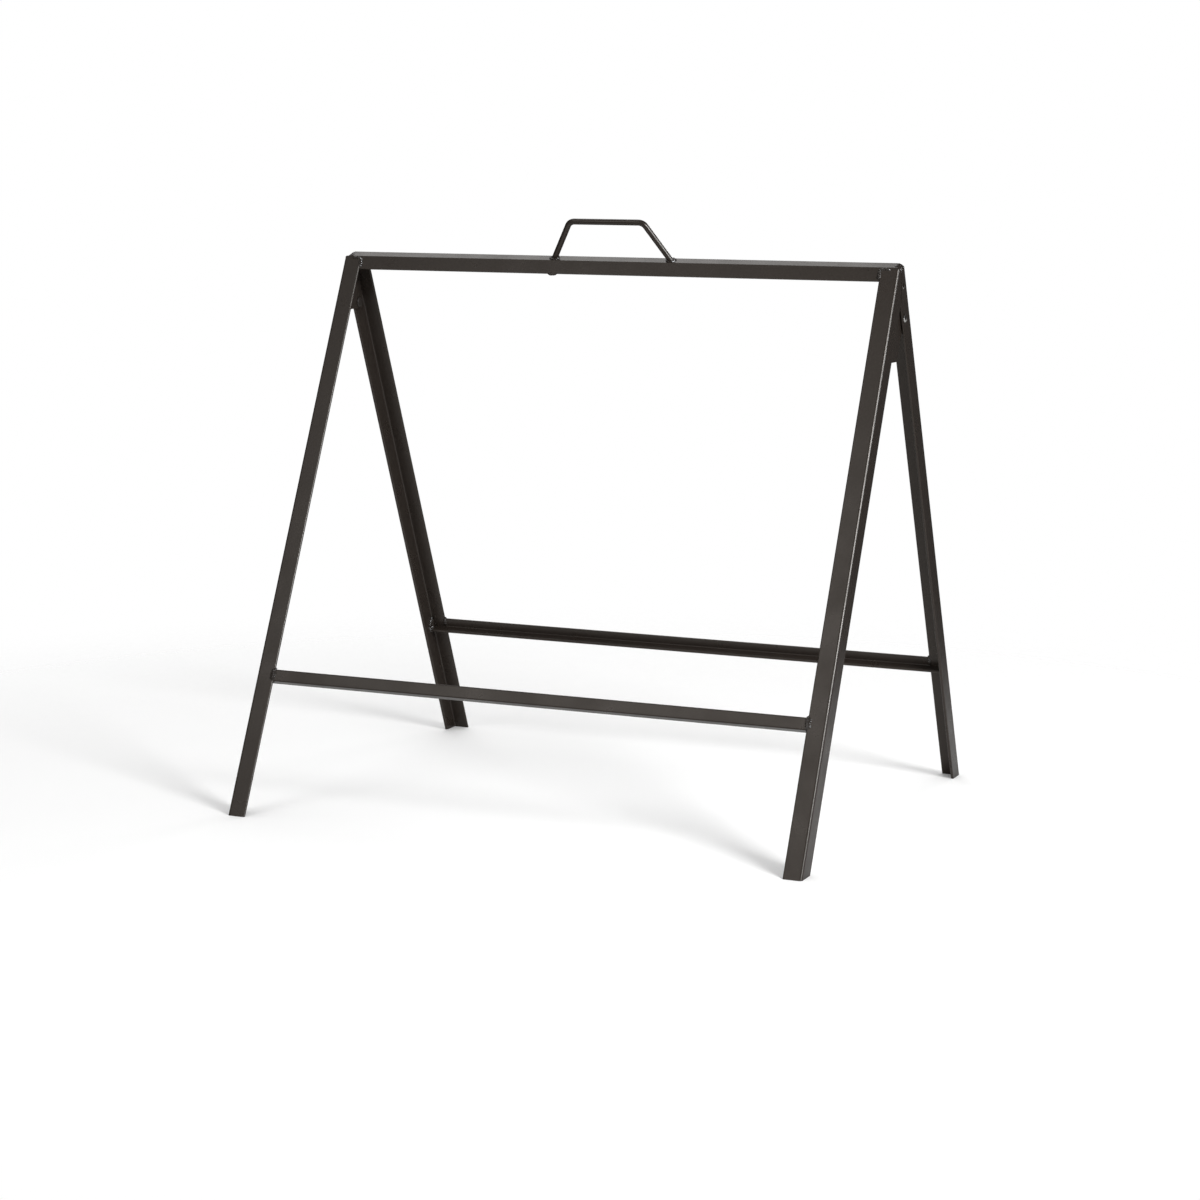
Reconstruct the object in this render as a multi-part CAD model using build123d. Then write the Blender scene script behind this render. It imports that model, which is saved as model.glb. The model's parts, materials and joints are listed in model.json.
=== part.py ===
from build123d import *
import os
from math import cos, hypot, radians, sin

# Folding A-frame sign holder: two welded angle-iron frames, riveted together near the top.
# Millimetres. X runs across the sign, the front looks along -Y, Z is up and the feet
# stand on Z = 0. The origin is on the floor, midway between the four feet.

# Sign panel that each frame holds, 24 by 18 inches, its play between the legs, and how
# far its top edge lies below the top edge of the front frame and of the rear frame
SIGN_WIDTH = 609.6
SIGN_HEIGHT = 457.2
SIGN_SIDE_PLAY = 3.2
FRONT_SIGN_DOWN = 13.5
REAR_SIGN_DOWN = 17.5

# Legs, cut from one angle section
LEG_FACE = 19.5
LEG_SIDE = 22.75
LEG_WALL = 3.0
LEG_OUTER_RADIUS = 2.6
LEG_INNER_RADIUS = 1.5
LEG_LENGTH = 618.0

# Rails, cut from a smaller angle section, how far the rear top rail stops short of the
# legs' outer sides, and the flat bar at the front's top, its face set back from the legs'
RAIL = 12.7
RAIL_WALL = 3.0
RAIL_OUTER_RADIUS = 1.2
RAIL_INNER_RADIUS = 1.0
TOE_RADIUS = 1.4
TOP_RAIL_SHORT = 4.8
TOP_BAR = 14.8
TOP_BAR_LIP = 2.0
TOP_BAR_CORNER = 1.9
TOP_BAR_SETBACK = 1.4

# How far each frame leans from upright when the holder stands open
FRONT_LEAN = 24.4
REAR_LEAN = 23.5

# Hinge: the pivot is placed down the front leg and inwards from its face
PIVOT_DOWN = 38.1
PIVOT_IN = 38.5
PLATE_THICK = 3.0
PLATE_SETBACK = 10.0
PLATE_NOSE = 9.5
PLATE_NOSE_RADIUS = 6.0
PLATE_CORNER = 2.0

# The right plate runs further down than the left one. The heel is the lower rear corner,
# measured rearwards from the pivot.
RIGHT_PLATE_DROP = 43.2
RIGHT_PLATE_HEEL = -11.5
LEFT_PLATE_DROP = 7.2
LEFT_PLATE_HEEL = 6.0

# Lock hole, placed down the rear leg and inwards from its face, and the metal round it
LOCK_DOWN = 20.3
LOCK_IN = 10.4
LOCK_RADIUS = 2.6
PLATE_ABOVE_LOCK = 6.4
PLATE_BEHIND_LOCK = 3.7

# Tubular rivet
RIVET_RADIUS = 3.175
RIVET_HEAD_RADIUS = 5.5
RIVET_HEAD = 1.8
RIVET_RIM_RADIUS = 4.2
RIVET_RIM = 1.1
RIVET_ROUNDING = 0.5
RIVET_BORE_RADIUS = 2.1
RIVET_BORE_DEPTH = 5.0

# Carrying handle, set a little to the left of the middle
ROD_RADIUS = 3.1
HANDLE_FEET = 131.0
HANDLE_TOP = 82.0
HANDLE_HEIGHT = 41.8
HANDLE_BEND = 9.0
HANDLE_SHIFT = -1.9

# Weld beads
BEAD_WIDTH = 5.0
BEAD_HEIGHT = 0.9
FILLET_WELD = 3.6
FILLET_BULGE = 0.3
LIP_BEAD = 10.0
TOP_END_WELD = 4.6
STITCH = 15.0
STITCH_INSET = 5.0
STITCH_SIZE = 2.5
COLLAR = 2.2
COLLAR_HEIGHT = 3.4

# Run of metal on the lower edge of the front bar
DRIP_X = -64.0
DRIP_WIDTH = 10.5
DRIP_DROP = 2.0

# Clearances
STOP_GAP = 0.3
MITRE_GAP = 0.5
HINGE_PLAY = 0.3
RIVET_FIT = 0.05
RIM_PLAY = 0.2
CUT_OVERRUN = 5.0

# Sizes that follow from those above
FRONT_WIDTH = SIGN_WIDTH + 2 * (SIGN_SIDE_PLAY + LEG_WALL)
REAR_WIDTH = FRONT_WIDTH + 2 * HINGE_PLAY
FRONT_LEDGE = FRONT_SIGN_DOWN + SIGN_HEIGHT
REAR_LEDGE = REAR_SIGN_DOWN + SIGN_HEIGHT
PLATE_FACE = FRONT_WIDTH / 2 - LEG_WALL
TOP_BAR_WALL = RAIL_WALL - TOP_BAR_SETBACK

FRONT_TURN = radians(FRONT_LEAN)
REAR_TURN = radians(REAR_LEAN)
FRONT_TOP = LEG_LENGTH * cos(FRONT_TURN)
REAR_TOP = LEG_LENGTH * cos(REAR_TURN)
MIDDLE = LEG_LENGTH * (sin(FRONT_TURN) - sin(REAR_TURN)) / 2

# The frames open until the rear top flange meets the back of the front bar, and that
# sets the distance between their top edges.
FLANGE_REACH = RAIL * cos(FRONT_TURN + REAR_TURN)
TOP_RISE = (REAR_TOP - FRONT_TOP) * sin(FRONT_TURN)
TOP_SPREAD = (RAIL_WALL + STOP_GAP + FLANGE_REACH + TOP_RISE) / cos(FRONT_TURN)

# Each frame is drawn flat, seen from outside: x to the right, y up the leg from its top
# edge, z out of the face. The rear frame's x therefore runs towards -X.
FRONT = Plane(
    origin=(0, MIDDLE - TOP_SPREAD / 2, FRONT_TOP),
    x_dir=(1, 0, 0),
    z_dir=(0, -cos(FRONT_TURN), sin(FRONT_TURN)),
)
REAR = Plane(
    origin=(0, MIDDLE + TOP_SPREAD / 2, REAR_TOP),
    x_dir=(-1, 0, 0),
    z_dir=(0, cos(REAR_TURN), sin(REAR_TURN)),
)


def on_frame(frame, down, inwards):
    """The place that lies this far down a frame's leg and inwards from its face."""
    return frame.from_local_coords(Vector(0, -down, -inwards))


PIVOT = on_frame(FRONT, PIVOT_DOWN, PIVOT_IN)
LOCK = on_frame(REAR, LOCK_DOWN, LOCK_IN)
PLATE_TOP = LOCK.Z + PLATE_ABOVE_LOCK


def other_hand(solid):
    """The same piece for the other side."""
    return mirror(solid, about=Plane.YZ)


def block(low, high):
    """Box between two opposite corners."""
    size = Vector(*high) - Vector(*low)
    corner = (Align.MIN, Align.MIN, Align.MIN)
    return Pos(*low) * Box(size.X, size.Y, size.Z, align=corner)


def rod_along_x(start, length, radius, place):
    """Round bar along +X from x = start, centred on a place in the YZ plane."""
    seat = Plane(origin=(start, place.Y, place.Z), z_dir=(1, 0, 0))
    return seat * Cylinder(radius, length, align=(Align.CENTER, Align.CENTER, Align.MIN))


def angle_section(first, second, wall, outer_radius, inner_radius):
    """Angle section with its outer corner at 0,0 and its flanges along -x and -y."""
    points = [
        (0, 0),
        (0, -second),
        (-wall, -second),
        (-wall, -wall),
        (-first, -wall),
        (-first, 0),
    ]
    toe = TOE_RADIUS
    radii = [outer_radius, toe, toe, inner_radius, toe, toe]
    return make_face(FilletPolyline(*points, radius=radii, close=True))


def seam(width):
    """Where the inner edge of the right leg's face flange meets the rails."""
    return width / 2 - LEG_FACE


def leg(width, top):
    """Right leg of a frame, from `top` below the frame's top edge to below the floor."""
    section = angle_section(LEG_FACE, LEG_SIDE, LEG_WALL, LEG_OUTER_RADIUS, LEG_INNER_RADIUS)
    length = LEG_LENGTH - top + CUT_OVERRUN
    return Pos(width / 2, -top, 0) * extrude(Plane.XZ * section, amount=length)


def foot_cut(solid):
    """Cuts a leg level with the floor."""
    return split(solid, bisect_by=Plane.XY, keep=Keep.TOP)


def front_leg():
    """Front right leg, mitred at the middle and coped under the rear top flange."""
    solid = foot_cut(FRONT * leg(FRONT_WIDTH, TOP_BAR_LIP))
    mitre = Plane(origin=(0, MIDDLE - MITRE_GAP / 2, 0), z_dir=(0, -1, 0))
    solid = split(solid, bisect_by=mitre, keep=Keep.TOP)
    half = REAR_WIDTH / 2 + CUT_OVERRUN
    cope = block(
        (-half, -RAIL_WALL - STOP_GAP, -RAIL - STOP_GAP),
        (half, RAIL, RAIL),
    )
    return solid - REAR * cope


def rear_leg():
    """Rear left leg, mitred at the middle, with its pivot hole and lock hole."""
    solid = foot_cut(REAR * leg(REAR_WIDTH, RAIL_WALL))
    mitre = Plane(origin=(0, MIDDLE + MITRE_GAP / 2, 0), z_dir=(0, 1, 0))
    solid = split(solid, bisect_by=mitre, keep=Keep.TOP)
    start = -REAR_WIDTH / 2 - CUT_OVERRUN
    run = LEG_WALL + 2 * CUT_OVERRUN
    solid -= rod_along_x(start, run, RIVET_RADIUS + RIVET_FIT, PIVOT)
    return solid - rod_along_x(start, run, LOCK_RADIUS, LOCK)


def front_top_bar():
    """Flat bar between the front legs, with a lip over the tops of their face flanges."""
    half = FRONT_WIDTH / 2
    inner = seam(FRONT_WIDTH)
    points = [
        (-half, 0),
        (half, 0),
        (half, -TOP_BAR_LIP),
        (inner, -TOP_BAR_LIP),
        (inner, -TOP_BAR),
        (-inner, -TOP_BAR),
        (-inner, -TOP_BAR_LIP),
        (-half, -TOP_BAR_LIP),
    ]
    radii = [TOP_BAR_CORNER] * 2 + [0] * (len(points) - 2)
    outline = make_face(FilletPolyline(*points, radius=radii, close=True))
    return FRONT * (Pos(0, 0, -TOP_BAR_SETBACK) * extrude(outline, amount=-TOP_BAR_WALL))


def rail_section():
    """Section of the rails."""
    return angle_section(RAIL, RAIL, RAIL_WALL, RAIL_OUTER_RADIUS, RAIL_INNER_RADIUS)


def both_ends(cutter):
    """A cutter at the right end of a rail and its twin at the left end."""
    return cutter + other_hand(cutter)


def rear_top_rail():
    """Angle across the rear legs: its flange lies on the leg tops and stops short of their
    outer sides, its web stands between them."""
    half = REAR_WIDTH / 2 - TOP_RAIL_SHORT
    seat = Plane(origin=(-half, 0, 0), x_dir=(0, 1, 0), z_dir=(1, 0, 0))
    rail = extrude(seat * rail_section(), amount=2 * half)
    notch = block(
        (seam(REAR_WIDTH), -RAIL - CUT_OVERRUN, -RAIL - CUT_OVERRUN),
        (half + CUT_OVERRUN, -RAIL_WALL, CUT_OVERRUN),
    )
    return REAR * (rail - both_ends(notch))


def lower_rail(frame, width, ledge):
    """Angle between the legs: its web is flush with their faces, its ledge runs on behind."""
    half = width / 2 - LEG_WALL
    inner = seam(width)
    bottom = ledge + RAIL_WALL
    seat = Plane(origin=(half, -bottom, 0), x_dir=(0, -1, 0), z_dir=(-1, 0, 0))
    rail = extrude(seat * rail_section(), amount=2 * half)
    web_end = block(
        (inner, -ledge, -RAIL - CUT_OVERRUN),
        (half + CUT_OVERRUN, -bottom + RAIL + CUT_OVERRUN, CUT_OVERRUN),
    )
    behind = -LEG_WALL - LEG_INNER_RADIUS
    ledge_end = make_face(
        Polyline(
            (inner, CUT_OVERRUN),
            (half + CUT_OVERRUN, CUT_OVERRUN),
            (half + CUT_OVERRUN, behind),
            (half, behind),
            (half - LEG_INNER_RADIUS, -LEG_WALL),
            (inner, -LEG_WALL),
            close=True,
        )
    )
    cope = extrude(Plane.XZ * ledge_end, amount=RAIL + CUT_OVERRUN)
    cope = Pos(0, -bottom + RAIL, 0) * cope
    return frame * (rail - both_ends(web_end + cope))


def hinge_plate(drop, heel):
    """Hinge plate, drawn on the right, flat on the inside of the front leg's side flange."""
    bottom = PIVOT.Z - drop
    points = [
        (plate_edge(PLATE_TOP), PLATE_TOP),
        (LOCK.Y + PLATE_BEHIND_LOCK, PLATE_TOP),
        (PIVOT.Y + PLATE_NOSE, PIVOT.Z),
        (PIVOT.Y + heel, bottom),
        (plate_edge(bottom), bottom),
    ]
    corner = PLATE_CORNER
    radii = [corner, corner, PLATE_NOSE_RADIUS, corner, corner]
    outline = make_face(FilletPolyline(*points, radius=radii, close=True))
    start = PLATE_FACE - PLATE_THICK
    plate = Pos(start, 0, 0) * extrude(Plane.YZ * outline, amount=PLATE_THICK)
    start -= CUT_OVERRUN
    run = PLATE_THICK + 2 * CUT_OVERRUN
    plate -= rod_along_x(start, run, RIVET_RADIUS + RIVET_FIT, PIVOT)
    return plate - rod_along_x(start, run, LOCK_RADIUS, LOCK)


def plate_down(height):
    """How far down the front leg the plate's welded edge passes this height."""
    return (FRONT_TOP - PLATE_SETBACK * sin(FRONT_TURN) - height) / cos(FRONT_TURN)


def plate_edge(height):
    """The y of the plate's welded edge at this height."""
    return on_frame(FRONT, plate_down(height), PLATE_SETBACK).Y


def pivot_rivet():
    """Right rivet: head inside the plate, shank, and a rolled hollow rim outside."""
    inside = PLATE_FACE - PLATE_THICK
    rim_start = REAR_WIDTH / 2 + RIM_PLAY
    tip = rim_start + RIVET_RIM
    head = rod_along_x(inside - RIVET_HEAD, RIVET_HEAD, RIVET_HEAD_RADIUS, PIVOT)
    head = fillet(head.edges().group_by(Axis.X)[0], RIVET_ROUNDING)
    rim = rod_along_x(rim_start, RIVET_RIM, RIVET_RIM_RADIUS, PIVOT)
    rim = fillet(rim.edges().group_by(Axis.X)[-1], RIVET_ROUNDING)
    shank = rod_along_x(inside, rim_start - inside, RIVET_RADIUS, PIVOT)
    bore = rod_along_x(tip - RIVET_BORE_DEPTH, RIVET_BORE_DEPTH, RIVET_BORE_RADIUS, PIVOT)
    return head + shank + rim - bore


def handle_foot():
    """Foot of the handle on the rear top flange, and the direction up its right side."""
    lean = (HANDLE_TOP - HANDLE_FEET) / 2
    length = hypot(lean, HANDLE_HEIGHT)
    foot = Vector(HANDLE_FEET / 2, 0, -RAIL / 2)
    return foot, Vector(lean / length, HANDLE_HEIGHT / length, 0)


def handle():
    """Bent rod in the rear frame's plane, its feet cut level with the top flange."""
    foot, up = handle_foot()
    start = foot - up * (2 * ROD_RADIUS)
    points = [
        start,
        Vector(HANDLE_TOP / 2, HANDLE_HEIGHT, foot.Z),
        Vector(-HANDLE_TOP / 2, HANDLE_HEIGHT, foot.Z),
        Vector(-start.X, start.Y, start.Z),
    ]
    path = FilletPolyline(*points, radius=HANDLE_BEND)
    section = Plane(origin=start, z_dir=up) * Circle(ROD_RADIUS)
    rod = sweep(section, path=path)
    return Pos(HANDLE_SHIFT, 0, 0) * (REAR * above_flange(rod))


def above_flange(solid):
    """Keeps what stands above the rear top flange."""
    return split(solid, bisect_by=Plane(origin=(0, 0, 0), z_dir=(0, 1, 0)), keep=Keep.TOP)


def handle_collar():
    """Cone of weld round the handle's right foot."""
    foot, up = handle_foot()
    middle = (Align.CENTER, Align.CENTER, Align.CENTER)
    seat = Plane(origin=foot, z_dir=up)
    cone = Cone(ROD_RADIUS + 2 * COLLAR, ROD_RADIUS, 2 * COLLAR_HEIGHT, align=middle)
    rod = Cylinder(ROD_RADIUS, 4 * COLLAR_HEIGHT, align=middle)
    return above_flange(seat * (cone - rod))


def bead(length, width, height):
    """Weld crown along +x on the xy plane, bulging to +z."""
    arc = ThreePointArc((-width / 2, 0), (0, height), (width / 2, 0))
    base = Line((width / 2, 0), (-width / 2, 0))
    return extrude(Plane.YZ * make_face([arc, base]), amount=length)


def fillet_weld(length, foot, rise):
    """Weld in a corner between the +x and +y directions, running along +z."""
    middle = (foot / 2 + FILLET_BULGE, rise / 2 + FILLET_BULGE)
    arc = ThreePointArc((foot, 0), middle, (0, rise))
    sides = Polyline((0, rise), (0, 0), (foot, 0))
    return extrude(make_face([arc, sides]), amount=length)


def upright_bead(across, low, high, face):
    """Weld crown up a seam, on the outside of a frame or on its inside face."""
    outwards = 1 if face == 0 else -1
    seat = Plane(origin=(across, -low, face), x_dir=(0, 1, 0), z_dir=(0, 0, outwards))
    return seat * bead(low - high, BEAD_WIDTH, BEAD_HEIGHT)


def front_top_weld(leg):
    """Welds at the front frame's top right corner: beside the leg's edge, and on its top."""
    across = seam(FRONT_WIDTH) + TOE_RADIUS
    foot = FILLET_WELD + TOE_RADIUS
    beside = Plane(origin=(across, -TOP_BAR, -TOP_BAR_SETBACK), x_dir=(-1, 0, 0), z_dir=(0, 1, 0))
    above = Plane(origin=(across, -TOP_BAR_LIP, -TOP_BAR_SETBACK), x_dir=(0, 0, 1), z_dir=(1, 0, 0))
    up = beside * fillet_weld(TOP_BAR - TOP_BAR_LIP, foot, TOP_BAR_SETBACK)
    level = above * fillet_weld(LIP_BEAD, TOP_BAR_SETBACK, TOP_BAR_LIP)
    return FRONT * (up + level) - leg


def rear_top_weld():
    """Welds at the rear frame's top left corner: on its face, and at the flange's end."""
    across = seam(REAR_WIDTH)
    end = REAR_WIDTH / 2 - TOP_RAIL_SHORT
    up = upright_bead(across, RAIL, RAIL_WALL, 0)
    level = Plane(origin=(across, -RAIL_WALL, 0), x_dir=(1, 0, 0), z_dir=(0, 0, 1))
    face = up + level * bead(end - across, BEAD_WIDTH, BEAD_HEIGHT)
    run = RAIL - TOE_RADIUS - LEG_OUTER_RADIUS
    seat = Pos(end, -RAIL_WALL, -RAIL + TOE_RADIUS)
    return [REAR * face, REAR * (seat * fillet_weld(run, TOP_END_WELD, RAIL_WALL))]


def lower_weld(frame, width, ledge):
    """Welds at the right end of a lower rail."""
    across = seam(width)
    bottom = ledge + RAIL_WALL
    web_top = bottom - RAIL
    back = -max(LEG_WALL, RAIL_WALL)
    inside = width / 2 - LEG_WALL
    outer = upright_bead(across, bottom - RAIL_OUTER_RADIUS, web_top, 0)
    inner = upright_bead(across, ledge - RAIL_INNER_RADIUS, web_top, back)
    above = Plane(origin=(across, -web_top, 0), x_dir=(-1, 0, 0), z_dir=(0, 0, -1))
    below = Plane(origin=(across, -bottom, -RAIL_WALL), x_dir=(-1, 0, 0), z_dir=(0, 0, 1))
    end = Plane(origin=(inside, -bottom, -RAIL), x_dir=(-1, 0, 0), z_dir=(0, 0, 1))
    corner = fillet_weld(RAIL_WALL, FILLET_WELD, FILLET_WELD)
    run = RAIL - LEG_WALL - LEG_INNER_RADIUS
    pieces = [
        outer,
        inner,
        above * corner,
        below * corner,
        end * fillet_weld(run, FILLET_WELD, FILLET_WELD),
    ]
    return [frame * piece for piece in pieces]


def plate_welds(drop):
    """Two stitches along the edge of a hinge plate, drawn on the right."""
    high = plate_down(PLATE_TOP) + STITCH_INSET + STITCH
    low = plate_down(PIVOT.Z - drop) - STITCH_INSET
    stitches = []
    for down in (high, low):
        seat = Plane(
            origin=(PLATE_FACE, -down, -PLATE_SETBACK), x_dir=(-1, 0, 0), z_dir=(0, 1, 0)
        )
        stitches.append(FRONT * (seat * fillet_weld(STITCH, STITCH_SIZE, STITCH_SIZE)))
    return stitches


def top_bar_drip():
    """Run of metal under the front bar's lower edge."""
    face = -TOP_BAR_SETBACK
    seat = Plane(origin=(DRIP_X, -TOP_BAR, face), x_dir=(0, 0, -1), z_dir=(0, -1, 0))
    return FRONT * (seat * bead(TOP_BAR_WALL, DRIP_WIDTH, DRIP_DROP))


def group(pieces, twins):
    """Separate pieces, and others that are put on the other side, as one group."""
    solids = [solid for piece in pieces for solid in piece.solids()]
    others = [other_hand(solid).solid() for twin in twins for solid in twin.solids()]
    return Compound(solids + others)


def both_sides(pieces):
    """A group of separate pieces and their twins on the other side."""
    return group(pieces, pieces)


def build():
    """Every piece by name, in the open pose."""
    front_right = front_leg()
    rear_left = rear_leg()
    rivet = pivot_rivet()
    return {
        "front_right_leg": front_right,
        "front_left_leg": other_hand(front_right),
        "front_top_bar": front_top_bar(),
        "front_lower_rail": lower_rail(FRONT, FRONT_WIDTH, FRONT_LEDGE),
        "right_hinge_plate": hinge_plate(RIGHT_PLATE_DROP, RIGHT_PLATE_HEEL),
        "left_hinge_plate": other_hand(hinge_plate(LEFT_PLATE_DROP, LEFT_PLATE_HEEL)),
        "right_pivot_rivet": rivet,
        "left_pivot_rivet": other_hand(rivet),
        "front_top_welds": both_sides([front_top_weld(front_right)]),
        "front_lower_welds": both_sides(lower_weld(FRONT, FRONT_WIDTH, FRONT_LEDGE)),
        "hinge_plate_welds": group(
            plate_welds(RIGHT_PLATE_DROP), plate_welds(LEFT_PLATE_DROP)
        ),
        "top_bar_drip": top_bar_drip(),
        "rear_left_leg": rear_left,
        "rear_right_leg": other_hand(rear_left),
        "rear_top_rail": rear_top_rail(),
        "rear_lower_rail": lower_rail(REAR, REAR_WIDTH, REAR_LEDGE),
        "handle": handle(),
        "handle_welds": Pos(HANDLE_SHIFT, 0, 0) * both_sides([REAR * handle_collar()]),
        "rear_top_welds": both_sides(rear_top_weld()),
        "rear_lower_welds": both_sides(lower_weld(REAR, REAR_WIDTH, REAR_LEDGE)),
    }


os.makedirs("parts", exist_ok=True)
for name, shape in build().items():
    export_step(shape, f"parts/{name}.step")
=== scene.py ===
import json
import math
import random

import bmesh
import bpy
from bpy.props import FloatProperty, FloatVectorProperty, IntProperty, PointerProperty
from mathutils import Matrix, Quaternion, Vector, noise


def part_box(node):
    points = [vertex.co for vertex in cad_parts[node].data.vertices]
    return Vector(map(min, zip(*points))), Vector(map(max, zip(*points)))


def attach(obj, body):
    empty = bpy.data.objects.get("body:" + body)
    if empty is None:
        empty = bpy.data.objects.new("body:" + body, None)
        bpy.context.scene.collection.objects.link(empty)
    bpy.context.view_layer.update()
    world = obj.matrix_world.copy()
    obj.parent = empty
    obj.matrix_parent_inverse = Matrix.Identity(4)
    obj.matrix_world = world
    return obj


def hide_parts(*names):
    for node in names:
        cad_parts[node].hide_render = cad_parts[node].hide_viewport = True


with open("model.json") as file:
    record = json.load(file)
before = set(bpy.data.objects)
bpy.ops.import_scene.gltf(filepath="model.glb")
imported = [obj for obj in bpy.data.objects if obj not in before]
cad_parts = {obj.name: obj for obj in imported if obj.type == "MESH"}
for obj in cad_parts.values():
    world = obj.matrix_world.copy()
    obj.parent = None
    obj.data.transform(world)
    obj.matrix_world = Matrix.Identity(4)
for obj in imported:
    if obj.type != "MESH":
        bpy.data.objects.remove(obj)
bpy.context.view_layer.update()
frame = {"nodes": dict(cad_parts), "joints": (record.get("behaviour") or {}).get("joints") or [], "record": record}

bl_info = {
    "name": "A-frame Sign Holder",
    "version": (1, 0, 0),
    "blender": (4, 5, 0),
    "location": "View3D > Sidebar > Sign Holder",
    "description": "Dresses the folding sign holder: powder coat, weld beads, rivets and stage",
    "category": "Object",
}

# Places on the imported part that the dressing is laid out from
FRONT_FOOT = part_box("front_right_leg")[0].y
REAR_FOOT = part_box("rear_right_leg")[1].y
FRONT_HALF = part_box("front_right_leg")[1].x
REAR_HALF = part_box("rear_right_leg")[1].x
MOUNTS = {mount["name"]: mount for mount in frame["record"]["mounts"]}
FRONT_UP = Vector(MOUNTS["front_sign_ledge"]["axis"])
REAR_UP = Vector(MOUNTS["rear_sign_ledge"]["axis"])
PIVOT = Vector(frame["joints"][0]["pos_m"])
LOCK = Vector(MOUNTS["right_lock_hole"]["pos_m"])
RAIL_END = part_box("rear_top_rail")[1].x
HANDLE_MIDDLE = (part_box("handle")[0].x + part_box("handle")[1].x) / 2

# Powder grain: its inputs, the limits that sharpen the fine grain, its share in the relief
GRAIN_INPUTS = ("Grain Scale", "Peel Scale", "Blotch Scale")
GRAIN_LIMITS = (0.38, 0.66)
GRAIN_SHARE = 0.55

# Octaves of grain, orange peel and blotches, and how strongly the grain's octaves show
GRAIN_DETAIL, PEEL_DETAIL, BLOTCH_DETAIL = 3.0, 1.0, 4.0
GRAIN_ROUGHNESS = 0.6

# Most values of a noise lie between these
NOISE_LIMITS = (0.3, 0.7)

# Each finish: scales of grain, orange peel and blotches, then strength and depth of the relief
COAT_SCALES, COAT_RELIEF = (1500.0, 420.0, 34.0), (0.06, 0.00025)
WELD_SCALES, WELD_RELIEF = (1100.0, 520.0, 240.0), (0.4, 0.0004)
RIVET_SCALES, RIVET_RELIEF = (1300.0, 700.0, 420.0), (0.3, 0.0002)

# Roughness, for the coat about its mean, share of mirrored light, tone of the darker blotches
COAT_SPREAD, COAT_SPECULAR, COAT_DULL = (-0.05, 0.06), 0.42, 0.86
WELD_ROUGHNESS, WELD_SPECULAR, WELD_DARK = (0.18, 0.32), 0.8, 0.6
RIVET_ROUGHNESS = (0.40, 0.50)

# Painted glints: crescents of bright uncoated steel laid on the lower lips of the rivet and the
# lock hole, where the glint falls: a disc less a disc that lies higher and keeps its coat, at
# least so far from the middle plane, and how evenly the steel shows
LOCK_GLINT = {"Kept": 0.0031, "Rubbed": 0.0031, "Lift": 0.0009, "Side": 0.0}
RIVET_GLINT = {"Kept": 0.0048, "Rubbed": 0.0044, "Lift": 0.0024, "Side": REAR_HALF - 0.0002}
GLINT_PATCHES = (0.75, 1.0)

# Floor: clouds, tone in mirrored light, opaque share of its radius, gloss, sides of its rim
FLOOR_CLOUD, FLOOR_TONE = 3.0, 0.985
FLOOR_MIRRORED, FLOOR_SOLID = 0.56, 0.4
FLOOR_ROUGHNESS, FLOOR_SPECULAR = 0.7, 0.2
FLOOR_SIDES = 96

# Beads: rings to a ripple, fewest rings, corners of a ring, length and fullness of the ends
RINGS_PER_RIPPLE, FEWEST_RINGS, RING_CORNERS = 5, 8, 14
BLUNT, END_FULLNESS = 0.6, 0.06

# Unevenness along a bead: scale and share of the swelling and of the sway, reach of the draw
SWELL_SCALE, SWELL_SHARE = 260, 0.25
SWAY_SCALE, SWAY_SHARE = 200, 0.12
DRIFT = 40

# Scale and share of the coarse and fine lumps on the beads' skin
LUMPS = ((420, 0.7), (1150, 0.3))

# Width and height of the beads, None for the usual one, and a fillet's in legs of the fillet
USUAL_BEAD = (None, None)
SEAM_BEAD = (None, 0.0024)
LIP_BEAD = (0.0048, 0.0026)
END_BEAD = (0.0104, 0.0031)
RAIL_FACE_BEAD = (0.0078, 0.0013)
RAIL_BACK_BEAD = (None, 0.0009)
NOOK_BEAD = (0.0060, 0.0031)
STITCH_BEAD = (0.0034, 0.0016)
FOOT_BEAD = (0.0036, 0.0018)
FILLET_SHARES = (1.35, 0.62)

# Stitches: distance behind the leg's face, from the plate's upper and lower end, and length
STITCH_BACK, STITCH_TOP, STITCH_LOW, STITCH = 0.010, 0.0075, 0.005, 0.015

# Bead round a handle's foot: steps, turns with the lap, gap to the rod, outward tilt
FOOT_STEPS, FOOT_TURNS, FOOT_GAP, FOOT_TILT = 28, 1.04, 0.0006, 0.8

# Turned rivets: steps round the axis, roundings, segments of a rounding, sharpest smooth edge
RIVET_STEPS = 40
HEAD_ROUND, LIP_ROUND, BORE_ROUND = 0.0006, 0.0005, 0.0004
ROUND_SEGMENTS = 4
SMOOTH_ANGLE = math.radians(40)
SAME_PLACE = 1e-6

# Softboxes: place, width and height, roll. They look at the middle of the stage.
STAGE_MIDDLE = (0, 0, 0.28)
SOFTBOXES = {
    "key": ((2.15, -1.2, 1.6), (0.8, 0.8), 0.0),
    "side": ((2.6, -0.55, 1.3), (2.2, 0.45), 0.0),
    "back": ((0.45, 2.9, 1.4), (0.8, 0.5), 0.0),
    "fill": ((-1.2, -2.7, 2.1), (1.6, 1.5), math.radians(-20)),
    "top": ((-1.0, 1.25, 2.25), (1.8, 1.5), 0.0),
}

# Colour of the side softbox, which shows only in the gloss
SIDE_COLOUR = (0.86, 0.94, 1.0)

# Strength of the world's soft light, of the backdrop and of its mirror image
WORLD_SOFT, WORLD_WHITE, WORLD_DIM = 0.53, 1.0, 0.05

# Camera: width of the sensor in millimetres and farthest visible distance
SENSOR, FARTHEST = 36.0, 50.0


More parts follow.
